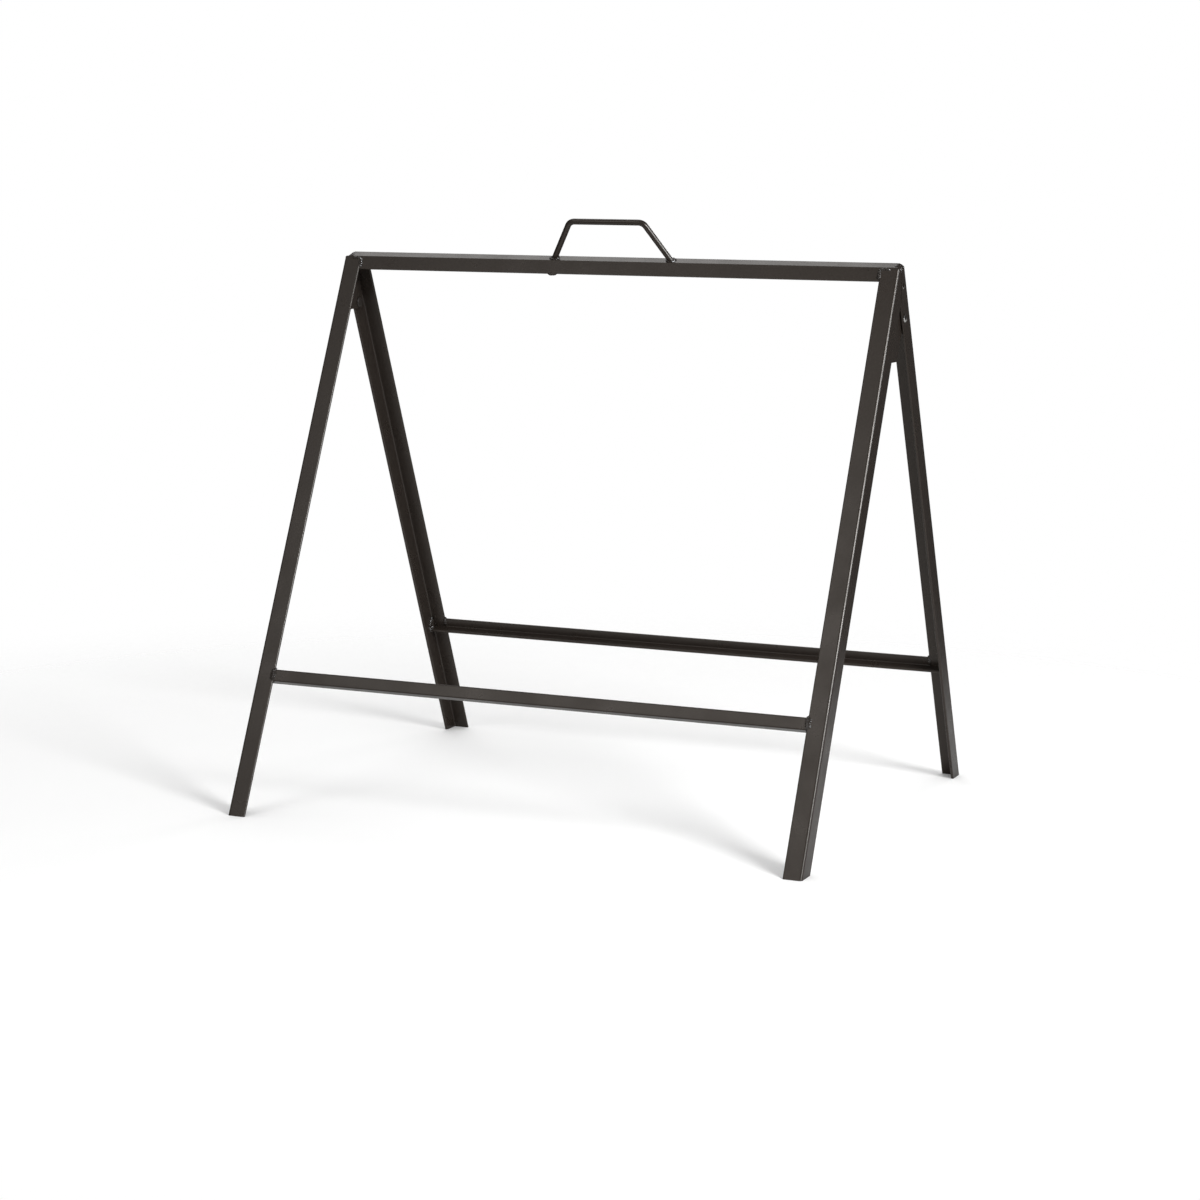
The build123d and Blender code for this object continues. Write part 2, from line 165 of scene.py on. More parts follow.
class HolderSizes(bpy.types.PropertyGroup):
    """Sizes of the holder that beads and rivets are made by, as in the part's source."""

    leg_length: FloatProperty(
        name="Leg length", description="Length of each leg along its face",
        default=0.618, unit="LENGTH",
    )
    leg_face: FloatProperty(
        name="Leg face", description="Width of the leg's face flange", default=0.0195, unit="LENGTH"
    )
    wall: FloatProperty(
        name="Wall", description="Thickness of the angle sections", default=0.003, unit="LENGTH"
    )
    rail: FloatProperty(
        name="Rail", description="Flange width of the rails", default=0.0127, unit="LENGTH"
    )
    top_bar: FloatProperty(
        name="Top bar", description="Height of the front bar", default=0.0148, unit="LENGTH"
    )
    bar_lip: FloatProperty(
        name="Bar lip", description="Height of the bar's lip over the legs",
        default=0.002, unit="LENGTH",
    )
    bar_setback: FloatProperty(
        name="Bar setback", description="How far the bar's face lies behind the leg faces",
        default=0.0014,
        unit="LENGTH",
    )
    front_ledge: FloatProperty(
        name="Front ledge", description="Front ledge below the frame's top",
        default=0.4707, unit="LENGTH",
    )
    rear_ledge: FloatProperty(
        name="Rear ledge", description="Rear ledge below the frame's top",
        default=0.4747, unit="LENGTH",
    )
    rivet_shank: FloatProperty(
        name="Rivet shank", description="Radius of the rivet's shank",
        default=0.003175, unit="LENGTH",
    )
    rivet_head: FloatProperty(
        name="Rivet head", description="Thickness of the rivet's inner head",
        default=0.0018, unit="LENGTH",
    )
    rivet_lip: FloatProperty(
        name="Rivet lip", description="Radius of the rolled lip", default=0.0042, unit="LENGTH"
    )
    rivet_lip_height: FloatProperty(
        name="Lip height", description="Height of the rolled lip", default=0.0011, unit="LENGTH"
    )
    rivet_bore: FloatProperty(
        name="Rivet bore", description="Radius of the rivet's hollow", default=0.0021, unit="LENGTH"
    )
    rivet_hollow: FloatProperty(
        name="Rivet hollow", description="Depth of the rivet's hollow", default=0.005, unit="LENGTH"
    )
    rod_radius: FloatProperty(
        name="Rod radius", description="Radius of the handle's rod", default=0.0031, unit="LENGTH"
    )
    handle_feet: FloatProperty(
        name="Handle feet", description="Distance between the handle's feet",
        default=0.131, unit="LENGTH",
    )
    handle_top: FloatProperty(
        name="Handle top", description="Distance between the handle's bends",
        default=0.082, unit="LENGTH",
    )
    handle_height: FloatProperty(
        name="Handle height", description="Height of the handle's rod",
        default=0.0418, unit="LENGTH",
    )
    drip_x: FloatProperty(
        name="Drip place", description="Where the run under the front bar lies",
        default=-0.064, unit="LENGTH",
    )
    drip_width: FloatProperty(
        name="Drip width", description="Length of the run along the bar",
        default=0.0105, unit="LENGTH",
    )
    drip_drop: FloatProperty(
        name="Drip drop", description="How far the run hangs below the bar",
        default=0.0020, unit="LENGTH",
    )


class WeldLook(bpy.types.PropertyGroup):
    """Shape of the weld beads."""

    bead_width: FloatProperty(
        name="Bead width", description="Width of a bead on a flat seam",
        default=0.0052, unit="LENGTH",
    )
    bead_height: FloatProperty(
        name="Bead height", description="Height of a bead on a flat seam",
        default=0.0015, unit="LENGTH",
    )
    fillet: FloatProperty(
        name="Fillet", description="Leg of a bead in a corner", default=0.0044, unit="LENGTH"
    )
    ripple: FloatProperty(
        name="Ripple pitch", description="Distance between a bead's ripples",
        default=0.0027, unit="LENGTH",
    )
    ripple_depth: FloatProperty(
        name="Ripple depth", description="Share of the bead that a ripple takes away", default=0.28,
        min=0.0, max=0.6, subtype="FACTOR",
    )
    lump: FloatProperty(
        name="Lumps", description="Unevenness of the bead's skin", default=0.00045, unit="LENGTH"
    )
    seed: IntProperty(name="Seed", description="Start of the random draws", default=7, min=0)


class FinishLook(bpy.types.PropertyGroup):
    """Colours and gloss of the finishes."""

    coat: FloatVectorProperty(
        name="Coat", description="Dark bronze powder coat", default=(0.0192, 0.0147, 0.0119),
        size=3, min=0.0, max=1.0, subtype="COLOR",
    )
    coat_light: FloatVectorProperty(
        name="Coat, light grains", description="Lighter grains of the coat",
        default=(0.0285, 0.0226, 0.0187),
        size=3, min=0.0, max=1.0, subtype="COLOR",
    )
    coat_gloss: FloatProperty(
        name="Coat roughness", description="Mean roughness of the coat", default=0.30,
        min=0.0, max=1.0, subtype="FACTOR",
    )
    sheen: FloatVectorProperty(
        name="Coat sheen", description="Tint of the light that the coat mirrors",
        default=(1.0, 0.94, 0.88),
        size=3, min=0.0, max=1.0, subtype="COLOR",
    )
    weld_coat: FloatVectorProperty(
        name="Coated weld", description="Coat where it lies over weld metal",
        default=(0.020, 0.016, 0.0135),
        size=3, min=0.0, max=1.0, subtype="COLOR",
    )
    # Painted glint: bright uncoated steel set where the glint falls on the rivet's lip and under the lock hole
    glint_steel: FloatVectorProperty(
        name="Bare steel", description="Rivet metal where the coat is rubbed off",
        default=(0.96, 0.94, 0.91),
        size=3, min=0.0, max=1.0, subtype="COLOR",
    )
    floor: FloatVectorProperty(
        name="Floor", description="Pale studio floor", default=(0.97, 0.97, 0.968),
        size=3, min=0.0, max=1.0, subtype="COLOR",
    )


class StageLook(bpy.types.PropertyGroup):
    """Camera and lights."""

    camera: FloatVectorProperty(
        name="Camera", description="Place of the camera",
        default=(1.1508481, -2.6502375, 0.6561461),
        size=3, subtype="TRANSLATION", unit="LENGTH",
    )
    yaw: FloatProperty(
        name="Yaw", description="Turn of the camera to the left", default=math.radians(23.6557),
        subtype="ANGLE",
    )
    pitch: FloatProperty(
        name="Pitch", description="Tilt of the camera downwards", default=math.radians(8.8039),
        subtype="ANGLE",
    )
    roll: FloatProperty(
        name="Roll", description="Roll of the camera", default=math.radians(0.4562), subtype="ANGLE"
    )
    lens: FloatProperty(
        name="Lens", description="Focal length on a 36 mm sensor",
        default=83.4525, min=1.0, unit="CAMERA",
    )
    key: FloatProperty(
        name="Key light", description="Power of the softbox at the front right",
        default=60.0, unit="POWER",
    )
    side: FloatProperty(
        name="Side light", description="Power of the long softbox on the right",
        default=62.0, unit="POWER",
    )
    back: FloatProperty(
        name="Back light", description="Power of the small softbox behind",
        default=11.0, unit="POWER",
    )
    fill: FloatProperty(
        name="Fill light", description="Power of the softbox at the front left",
        default=15.0, unit="POWER",
    )
    top: FloatProperty(
        name="Top light", description="Power of the softbox overhead", default=15.0, unit="POWER"
    )
    floor_radius: FloatProperty(
        name="Floor radius", description="Radius of the round floor", default=1.3, unit="LENGTH"
    )


GROUPS = {
    "holder_sizes": HolderSizes,
    "holder_welds": WeldLook,
    "holder_finish": FinishLook,
    "holder_stage": StageLook,
}


def sizes():
    """The holder's sizes."""
    return bpy.context.scene.holder_sizes


def welds():
    """The weld beads' shape."""
    return bpy.context.scene.holder_welds


def finish_look():
    """The finishes' colours."""
    return bpy.context.scene.holder_finish


def frame_matrix(foot, up, across):
    """Axes of one frame: x to its right, y up the legs, z out of its face, from its top edge."""
    right = Vector((across, 0, 0))
    out = right.cross(up)
    origin = Vector((0, foot, 0)) + up * sizes().leg_length
    matrix = Matrix.Identity(4)
    for column, axis in enumerate((right, up, out, origin)):
        matrix.col[column][:3] = axis
    return matrix


def front_matrix():
    """Axes of the front frame."""
    return frame_matrix(FRONT_FOOT, FRONT_UP, 1)


def rear_matrix():
    """Axes of the rear frame, seen from behind."""
    return frame_matrix(REAR_FOOT, REAR_UP, -1)


def link_nodes(tree, *pairs):
    """Links pairs of node sockets."""
    for source, target in pairs:
        tree.links.new(source, target)


def set_limits(node, side, limits):
    """Sets the From or To limits of a map range node."""
    for end, value in zip(("Min", "Max"), limits):
        node.inputs[f"{side} {end}"].default_value = value


def grain_group():
    """Node group: fine grain, orange peel and slow blotches of a baked powder coat."""
    name = "powder_grain"
    if name in bpy.data.node_groups:
        return bpy.data.node_groups[name]
    group = bpy.data.node_groups.new(name, "ShaderNodeTree")
    face = group.interface
    face.new_socket("Vector", in_out="INPUT", socket_type="NodeSocketVector")
    for label, value in zip(GRAIN_INPUTS, COAT_SCALES):
        socket = face.new_socket(label, in_out="INPUT", socket_type="NodeSocketFloat")
        socket.default_value = value
    for label in ("Height", "Grain", "Blotch"):
        face.new_socket(label, in_out="OUTPUT", socket_type="NodeSocketFloat")
    nodes = group.nodes
    given, made = nodes.new("NodeGroupInput"), nodes.new("NodeGroupOutput")
    grain, peel, blotch = (nodes.new("ShaderNodeTexNoise") for _ in range(3))
    grain.inputs["Detail"].default_value = GRAIN_DETAIL
    grain.inputs["Roughness"].default_value = GRAIN_ROUGHNESS
    peel.inputs["Detail"].default_value = PEEL_DETAIL
    blotch.inputs["Detail"].default_value = BLOTCH_DETAIL
    for texture, label in zip((grain, peel, blotch), GRAIN_INPUTS):
        link_nodes(
            group,
            (given.outputs["Vector"], texture.inputs["Vector"]),
            (given.outputs[label], texture.inputs["Scale"]),
        )
    sharp = nodes.new("ShaderNodeMapRange")
    set_limits(sharp, "From", GRAIN_LIMITS)
    height = nodes.new("ShaderNodeMath")
    height.operation = "MULTIPLY_ADD"
    height.inputs[1].default_value = GRAIN_SHARE
    link_nodes(
        group,
        (grain.outputs["Fac"], sharp.inputs["Value"]),
        (grain.outputs["Fac"], height.inputs[0]),
        (peel.outputs["Fac"], height.inputs[2]),
        (height.outputs["Value"], made.inputs["Height"]),
        (sharp.outputs["Result"], made.inputs["Grain"]),
        (blotch.outputs["Fac"], made.inputs["Blotch"]),
    )
    return group


def new_material(name):
    """Empty node material with a Principled shader and object coordinates."""
    material = bpy.data.materials.new(name)
    material.use_nodes = True
    tree = material.node_tree
    tree.nodes.clear()
    shader = tree.nodes.new("ShaderNodeBsdfPrincipled")
    output = tree.nodes.new("ShaderNodeOutputMaterial")
    place = tree.nodes.new("ShaderNodeTexCoord")
    link_nodes(tree, (shader.outputs["BSDF"], output.inputs["Surface"]))
    return material, tree, shader, place


def add_grain(tree, place, scales):
    """Places the powder grain group with its own scales."""
    grain = tree.nodes.new("ShaderNodeGroup")
    grain.node_tree = grain_group()
    for label, scale in zip(GRAIN_INPUTS, scales):
        grain.inputs[label].default_value = scale
    link_nodes(tree, (place.outputs["Object"], grain.inputs["Vector"]))
    return grain


def add_bump(tree, shader, height, relief):
    """Bump from a height, into the shader's normal."""
    bump = tree.nodes.new("ShaderNodeBump")
    bump.inputs["Strength"].default_value, bump.inputs["Distance"].default_value = relief
    link_nodes(
        tree, (height, bump.inputs["Height"]), (bump.outputs["Normal"], shader.inputs["Normal"])
    )


def add_mix(tree, factor, first, second):
    """Colour mixed from two colours, each a socket or a plain value."""
    mix = tree.nodes.new("ShaderNodeMix")
    mix.data_type = "RGBA"
    link_nodes(tree, (factor, mix.inputs["Factor"]))
    for name, value in (("A", first), ("B", second)):
        socket = next(s for s in mix.inputs if s.name == name and s.type == "RGBA")
        if isinstance(value, bpy.types.NodeSocket):
            link_nodes(tree, (value, socket))
        else:
            socket.default_value = (*value, 1.0)
    return next(s for s in mix.outputs if s.type == "RGBA")


def add_range(tree, value, limits):
    """A noise's value spread between two limits."""
    spread = tree.nodes.new("ShaderNodeMapRange")
    set_limits(spread, "From", NOISE_LIMITS)
    set_limits(spread, "To", limits)
    link_nodes(tree, (value, spread.inputs["Value"]))
    return spread.outputs["Result"]


def crescent_group():
    """Node group: mask of a painted glint, a crescent under an axis along x, broken up by a grain."""
    name = "rubbed_crescent"
    if name in bpy.data.node_groups:
        return bpy.data.node_groups[name]
    group = bpy.data.node_groups.new(name, "ShaderNodeTree")
    face = group.interface
    face.new_socket("Vector", in_out="INPUT", socket_type="NodeSocketVector")
    face.new_socket("Centre", in_out="INPUT", socket_type="NodeSocketVector")
    for label in ("Kept", "Rubbed", "Lift", "Side", "Grain"):
        face.new_socket(label, in_out="INPUT", socket_type="NodeSocketFloat")
    face.new_socket("Mask", in_out="OUTPUT", socket_type="NodeSocketFloat")
    nodes = group.nodes
    given, made = nodes.new("NodeGroupInput"), nodes.new("NodeGroupOutput")
    offset, flat, reach, lifted, hollow = (nodes.new("ShaderNodeVectorMath") for _ in range(5))
    offset.operation, flat.operation, lifted.operation = "SUBTRACT", "MULTIPLY", "SUBTRACT"
    reach.operation = hollow.operation = "LENGTH"
    flat.inputs[1].default_value = (0, 1, 1)
    raised = nodes.new("ShaderNodeCombineXYZ")
    parts = nodes.new("ShaderNodeSeparateXYZ")
    far, bare, near, beyond, both, sided, patchy = (nodes.new("ShaderNodeMath") for _ in range(7))
    far.operation = "ABSOLUTE"
    bare.operation = beyond.operation = "GREATER_THAN"
    near.operation = "LESS_THAN"
    both.operation = sided.operation = patchy.operation = "MULTIPLY"
    link_nodes(
        group,
        (given.outputs["Vector"], offset.inputs[0]),
        (given.outputs["Centre"], offset.inputs[1]),
        (offset.outputs["Vector"], flat.inputs[0]),
        (flat.outputs["Vector"], reach.inputs[0]),
        (given.outputs["Lift"], raised.inputs["Z"]),
        (flat.outputs["Vector"], lifted.inputs[0]),
        (raised.outputs["Vector"], lifted.inputs[1]),
        (lifted.outputs["Vector"], hollow.inputs[0]),
        (given.outputs["Vector"], parts.inputs["Vector"]),
        (parts.outputs["X"], far.inputs[0]),
        (hollow.outputs["Value"], bare.inputs[0]),
        (given.outputs["Kept"], bare.inputs[1]),
        (reach.outputs["Value"], near.inputs[0]),
        (given.outputs["Rubbed"], near.inputs[1]),
        (far.outputs["Value"], beyond.inputs[0]),
        (given.outputs["Side"], beyond.inputs[1]),
        (bare.outputs["Value"], both.inputs[0]),
        (near.outputs["Value"], both.inputs[1]),
        (both.outputs["Value"], sided.inputs[0]),
        (beyond.outputs["Value"], sided.inputs[1]),
        (sided.outputs["Value"], patchy.inputs[0]),
        (given.outputs["Grain"], patchy.inputs[1]),
        (patchy.outputs["Value"], made.inputs["Mask"]),
    )
    return group


def add_crescent(tree, place, grain, centre, glint_sizes):
    """Places the painted glint's crescent group and gives its mask."""
    crescent = tree.nodes.new("ShaderNodeGroup")
    crescent.node_tree = crescent_group()
    crescent.inputs["Centre"].default_value = centre
    for label, value in glint_sizes.items():
        crescent.inputs[label].default_value = value
    patchy = add_range(tree, grain.outputs["Grain"], GLINT_PATCHES)
    link_nodes(
        tree, (place.outputs["Object"], crescent.inputs["Vector"]), (patchy, crescent.inputs["Grain"])
    )
    return crescent.outputs["Mask"]


def darker(colour, share):
    """A colour with every channel taken down."""
    return tuple(channel * share for channel in colour)


def coat_material(name="dark_bronze_coat", glint=False):
    """Dark bronze powder coat with fine grains, and a painted glint of bright uncoated steel under the lock hole
    if asked.
    """
    if name in bpy.data.materials:
        return bpy.data.materials[name]
    look = finish_look()
    material, tree, shader, place = new_material(name)
    grain = add_grain(tree, place, COAT_SCALES)
    dull = darker(look.coat, COAT_DULL)
    ground = add_mix(tree, grain.outputs["Blotch"], dull, look.coat)
    colour = add_mix(tree, grain.outputs["Grain"], ground, look.coat_light)
    roughness = [look.coat_gloss + change for change in COAT_SPREAD]
    gloss = add_range(tree, grain.outputs["Blotch"], roughness)
    # Painted glint: bright uncoated steel on the lower lip under the lock hole
    if glint:
        mask = add_crescent(tree, place, grain, LOCK, LOCK_GLINT)
        colour = add_mix(tree, mask, colour, look.glint_steel)
        link_nodes(tree, (mask, shader.inputs["Metallic"]))
    link_nodes(tree, (colour, shader.inputs["Base Color"]), (gloss, shader.inputs["Roughness"]))
    shader.inputs["Specular IOR Level"].default_value = COAT_SPECULAR
    shader.inputs["Specular Tint"].default_value = (*look.sheen, 1.0)
    add_bump(tree, shader, grain.outputs["Height"], COAT_RELIEF)
    return material


def weld_material():
    """The coat over weld metal: glossier on the crests, darker between them."""
    name = "coated_weld"
    if name in bpy.data.materials:
        return bpy.data.materials[name]
    look = finish_look()
    material, tree, shader, place = new_material(name)
    grain = add_grain(tree, place, WELD_SCALES)
    dark = darker(look.weld_coat, WELD_DARK)
    ground = add_mix(tree, grain.outputs["Blotch"], dark, look.coat)
    colour = add_mix(tree, grain.outputs["Grain"], ground, look.coat_light)
    gloss = add_range(tree, grain.outputs["Blotch"], WELD_ROUGHNESS)
    link_nodes(tree, (colour, shader.inputs["Base Color"]), (gloss, shader.inputs["Roughness"]))
    shader.inputs["Specular IOR Level"].default_value = WELD_SPECULAR
    add_bump(tree, shader, grain.outputs["Height"], WELD_RELIEF)
    return material


def rivet_material():
    """Rivet: coated, with a painted glint of bright uncoated steel on the lower half of its rolled lip."""
    name = "rubbed_rivet"
    if name in bpy.data.materials:
        return bpy.data.materials[name]
    look = finish_look()
    material, tree, shader, place = new_material(name)
    grain = add_grain(tree, place, RIVET_SCALES)
    # Painted glint: bright uncoated steel on the lower part of the rolled lip
    mask = add_crescent(tree, place, grain, PIVOT, RIVET_GLINT)
    colour = add_mix(tree, mask, look.coat, look.glint_steel)
    gloss = add_range(tree, grain.outputs["Grain"], RIVET_ROUGHNESS)
    link_nodes(
        tree,
        (colour, shader.inputs["Base Color"]),
        (mask, shader.inputs["Metallic"]),
        (gloss, shader.inputs["Roughness"]),
    )
    add_bump(tree, shader, grain.outputs["Height"], RIVET_RELIEF)
    return material


def floor_material():
    """Pale seamless floor, dimmer in mirrored light, that thins out to the backdrop at its edge."""
    look = finish_look()
    material, tree, shader, place = new_material("pale_floor")
    cloud = tree.nodes.new("ShaderNodeTexNoise")
    cloud.inputs["Scale"].default_value = FLOOR_CLOUD
    colour = add_mix(tree, cloud.outputs["Fac"], darker(look.floor, FLOOR_TONE), look.floor)
    ray = tree.nodes.new("ShaderNodeLightPath")
    mirrored = darker(look.floor, FLOOR_MIRRORED)
    colour = add_mix(tree, ray.outputs["Is Glossy Ray"], colour, mirrored)
    reach = tree.nodes.new("ShaderNodeVectorMath")
    reach.operation = "LENGTH"
    edge = tree.nodes.new("ShaderNodeMapRange")
    edge.interpolation_type = "SMOOTHSTEP"
    radius = bpy.context.scene.holder_stage.floor_radius
    set_limits(edge, "From", (radius, radius * FLOOR_SOLID))
    link_nodes(
        tree,
        (place.outputs["Object"], cloud.inputs["Vector"]),
        (place.outputs["Object"], reach.inputs[0]),
        (reach.outputs["Value"], edge.inputs["Value"]),
        (edge.outputs["Result"], shader.inputs["Alpha"]),
        (colour, shader.inputs["Base Color"]),
    )
    shader.inputs["Roughness"].default_value = FLOOR_ROUGHNESS
    shader.inputs["Specular IOR Level"].default_value = FLOOR_SPECULAR
    return material


def ring_matrix(place, along, normal, width, height):
    """Matrix that turns a unit circle into one ring of a bead."""
    side = along.cross(normal).normalized()
    matrix = Matrix.Identity(4)
    for column, axis in enumerate((side * width, normal * height, along, place)):
        matrix.col[column][:3] = axis
    return matrix


def bead_rings(points, normals, width, height, draw, blunt, calm):
    """Rings along a path: swelling ripples, uneven width and tapered ends."""
    look = welds()
    lengths = [(b - a).length for a, b in zip(points, points[1:])]
    whole = sum(lengths)
    count = max(FEWEST_RINGS, round(whole / (look.ripple / RINGS_PER_RIPPLE)))
    shift = draw.uniform(0, math.tau)
    drift = draw.uniform(-DRIFT, DRIFT)
    rings = []
    for step in range(count + 1):
        travel = whole * step / count
        left, index = travel, 0
        while index < len(lengths) - 1 and left > lengths[index]:
            left -= lengths[index]
            index += 1
        share = min(1.0, left / lengths[index])
        place = points[index].lerp(points[index + 1], share)
        normal = normals[index].lerp(normals[index + 1], share).normalized()
        along = (points[index + 1] - points[index]).normalized()
        phase = math.tau * travel / look.ripple + shift
        wave = abs(math.sin(phase / 2))
        uneven = noise.noise(Vector((travel * SWELL_SCALE, drift, 0.0)))
        swell = 1 - calm * (look.ripple_depth * wave - SWELL_SHARE * uneven)
        ends = min(travel, whole - travel) / (blunt * width)
        taper = math.sqrt(max(END_FULLNESS, 1 - (1 - min(1.0, ends)) ** 2))
        sway = SWAY_SHARE * width * noise.noise(Vector((drift, travel * SWAY_SCALE, 1.0)))
        side = along.cross(normal).normalized()
        wide, high = width / 2 * swell * taper, height * swell * taper
        rings.append(ring_matrix(place + side * sway, along, normal, wide, high))
    return rings


def add_bead(bm, points, normals, width, height, draw, blunt=BLUNT, calm=1.0):
    """Adds one closed bead to a mesh, ring by ring, with no wall left inside."""
    rings = bead_rings(points, normals, width, height, draw, blunt, calm)
    made = bmesh.ops.create_circle(
        bm, cap_ends=True, radius=1.0, segments=RING_CORNERS, matrix=rings[0]
    )
    face = made["verts"][0].link_faces[0]
    passed = []
    for before, after in zip(rings, rings[1:]):
        passed.append(face)
        grown = bmesh.ops.extrude_face_region(bm, geom=[face])["geom"]
        ring = [v for v in grown if isinstance(v, bmesh.types.BMVert)]
        face = next(f for f in grown if isinstance(f, bmesh.types.BMFace))
        bmesh.ops.transform(bm, matrix=after @ before.inverted(), verts=ring)
    bmesh.ops.delete(bm, geom=passed[1:], context="FACES_ONLY")


def straight_bead(bm, matrix, start, end, normal, draw, bead=USUAL_BEAD, blunt=BLUNT, calm=1.0):
    """Adds a straight bead, given in a frame's own axes."""
    look = welds()
    points = [matrix @ Vector(start), matrix @ Vector(end)]
    face = (matrix.to_3x3() @ Vector(normal)).normalized()
    width, height = bead
    wide, high = width or look.bead_width, height or look.bead_height
    add_bead(bm, points, [face, face], wide, high, draw, blunt, calm)


def make_piece(bm, name, body, nodes, material):
    """Smooth-shaded object from a mesh, riding on its body in place of its CAD nodes."""
    mesh = bpy.data.meshes.new(name)
    bm.to_mesh(mesh)
    bm.free()
    mesh.polygons.foreach_set("use_smooth", [True] * len(mesh.polygons))
    piece = bpy.data.objects.new(name, mesh)
    bpy.context.scene.collection.objects.link(piece)
    mesh.materials.append(material)
    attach(piece, body)
    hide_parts(*nodes)
    return piece


def finish_piece(bm, name, body, nodes, material):
    """Roughens the beads and makes the piece that stands for its CAD nodes."""
    look = welds()
    bmesh.ops.recalc_face_normals(bm, faces=bm.faces)
    bm.normal_update()
    moves = []
    for vert in bm.verts:
        rough = sum(share * noise.noise(vert.co * scale) for scale, share in LUMPS)
        moves.append((vert, vert.normal * look.lump * rough))
    for vert, move in moves:
        vert.co += move
    piece = make_piece(bm, name, body, nodes, material)
    smooth = piece.modifiers.new("round", "SUBSURF")
    smooth.levels = smooth.render_levels = 1


def dress_node(name, material):
    """Gives a CAD node its finish."""
    mesh = frame["nodes"][name].data
    mesh.materials.clear()
    mesh.materials.append(material)


class HOLDER_OT_coat(bpy.types.Operator):
    """Coats the legs, bars, rails, plates and the handle"""

    bl_idname = "holder.coat"
    bl_label = "Coat Frames"

    def execute(self, context):
        coat = coat_material()
        # The rear legs take the coat with the painted glint under the lock hole
        pinned = coat_material("dark_bronze_coat_pinned", glint=True)
        for name in sorted(frame["nodes"]):
            if name in ("rear_left_leg", "rear_right_leg"):
                dress_node(name, pinned)
            elif not name.endswith("_rivet"):
                dress_node(name, coat)
        return {"FINISHED"}


def on_circle(place, along, reach):
    """Whether a point lies on a circle about the pivot's axis."""
    radius = math.hypot(place.y - PIVOT.y, place.z - PIVOT.z)
    return abs(place.x - along) < SAME_PLACE and abs(radius - reach) < SAME_PLACE


def rivet_mesh(node, hand):
    """Turns one rivet about the pivot: rounded head, shank and a rolled lip round its hollow."""
    size = sizes()
    low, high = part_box(node)
    near, tip = sorted((abs(low.x), abs(high.x)))
    head = (high.z - low.z) / 2
    under, lip = near + size.rivet_head, tip - size.rivet_lip_height
    floor = tip - size.rivet_hollow
    profile = (
        (near, 0),
        (near, head),
        (under, head),
        (under, size.rivet_shank),
        (lip, size.rivet_shank),
        (lip, size.rivet_lip),
        (tip, size.rivet_lip),
        (tip, size.rivet_bore),
        (floor, size.rivet_bore),
        (floor, 0),
    )
    bm = bmesh.new()
    outline = [
        bm.verts.new((hand * along, PIVOT.y, PIVOT.z + reach)) for along, reach in profile
    ]
    edges = [bm.edges.new(pair) for pair in zip(outline, outline[1:])]
    bmesh.ops.spin(
        bm, geom=outline + edges, cent=(0, PIVOT.y, PIVOT.z), axis=(1, 0, 0), angle=math.tau,
        steps=RIVET_STEPS, use_merge=True,
    )
    bmesh.ops.remove_doubles(bm, verts=bm.verts, dist=SAME_PLACE)
    bmesh.ops.recalc_face_normals(bm, faces=bm.faces)
    for along, reach, rounding in (
        (near, head, HEAD_ROUND),
        (tip, size.rivet_lip, LIP_ROUND),
        (tip, size.rivet_bore, BORE_ROUND),
    ):
        circle = [
            edge for edge in bm.edges
            if all(on_circle(vert.co, hand * along, reach) for vert in edge.verts)
        ]
        bmesh.ops.bevel(
            bm, geom=circle, offset=rounding, affect="EDGES", segments=ROUND_SEGMENTS, profile=0.5,
            material=-1,
        )
    for edge in bm.edges:
        edge.smooth = edge.calc_face_angle(0.0) < SMOOTH_ANGLE
    return bm


class HOLDER_OT_rivets(bpy.types.Operator):
    """Turns the two pivot rivets"""

    bl_idname = "holder.rivets"
    bl_label = "Turn Rivets"

    def execute(self, context):
        for hand, side in ((1, "right"), (-1, "left")):
            node = side + "_pivot_rivet"
            bm, name = rivet_mesh(node, hand), side + "_rivet_turned"
            make_piece(bm, name, "front_frame", [node], rivet_material())
        return {"FINISHED"}


def front_corner_beads(bm, matrix, draw):
    """Beads at the front bar's ends: down the seam with the leg, and along the lip over it."""
    size = sizes()
    onto_bar, above_bottom = 0.0004, 0.0015
    lip_run, start_drop, end_drop = 0.011, 0.0010, 0.0006
    lip_normal = (0, 0.3, 0.95)
    back = -size.bar_setback
    low, high = -size.top_bar + above_bottom, -size.bar_lip
    lip_start, lip_end = -size.bar_lip - start_drop, -size.bar_lip - end_drop
    for hand in (1, -1):
        seam = hand * (FRONT_HALF - size.leg_face)
        bar, past = seam - hand * onto_bar, seam + hand * lip_run
        seam_normal = (-hand * 0.45, 0, 0.9)
        for start, end, normal, bead in (
            ((bar, low, back), (bar, high, back), seam_normal, SEAM_BEAD),
            ((seam, lip_start, back), (past, lip_end, back), lip_normal, LIP_BEAD),
        ):
            straight_bead(bm, matrix, start, end, normal, draw, bead)


def rear_corner_beads(bm, matrix, draw):
    """Beads at the rear top rail's ends: round its web, and over the short end of its flange."""
    size = sizes()
    near_out, far_out, tilt = 0.0008, 0.0016, 0.0004
    front, depth = -0.0002, -0.0126
    face = (0, 0, 1)
    for hand in (1, -1):
        seam, end = hand * (REAR_HALF - size.leg_face), hand * RAIL_END
        corner = (seam, -size.wall, 0)
        straight_bead(bm, matrix, (seam, -size.rail, 0), corner, face, draw)
        straight_bead(bm, matrix, corner, (end, -size.wall, 0), face, draw)
        near = (end + hand * near_out, -size.wall - tilt, front)
        far = (end + hand * far_out, -size.wall + tilt, depth)
        outward = (hand * 0.5, 0.86, 0)
        straight_bead(bm, matrix, near, far, outward, draw, END_BEAD, blunt=0.14, calm=0.5)


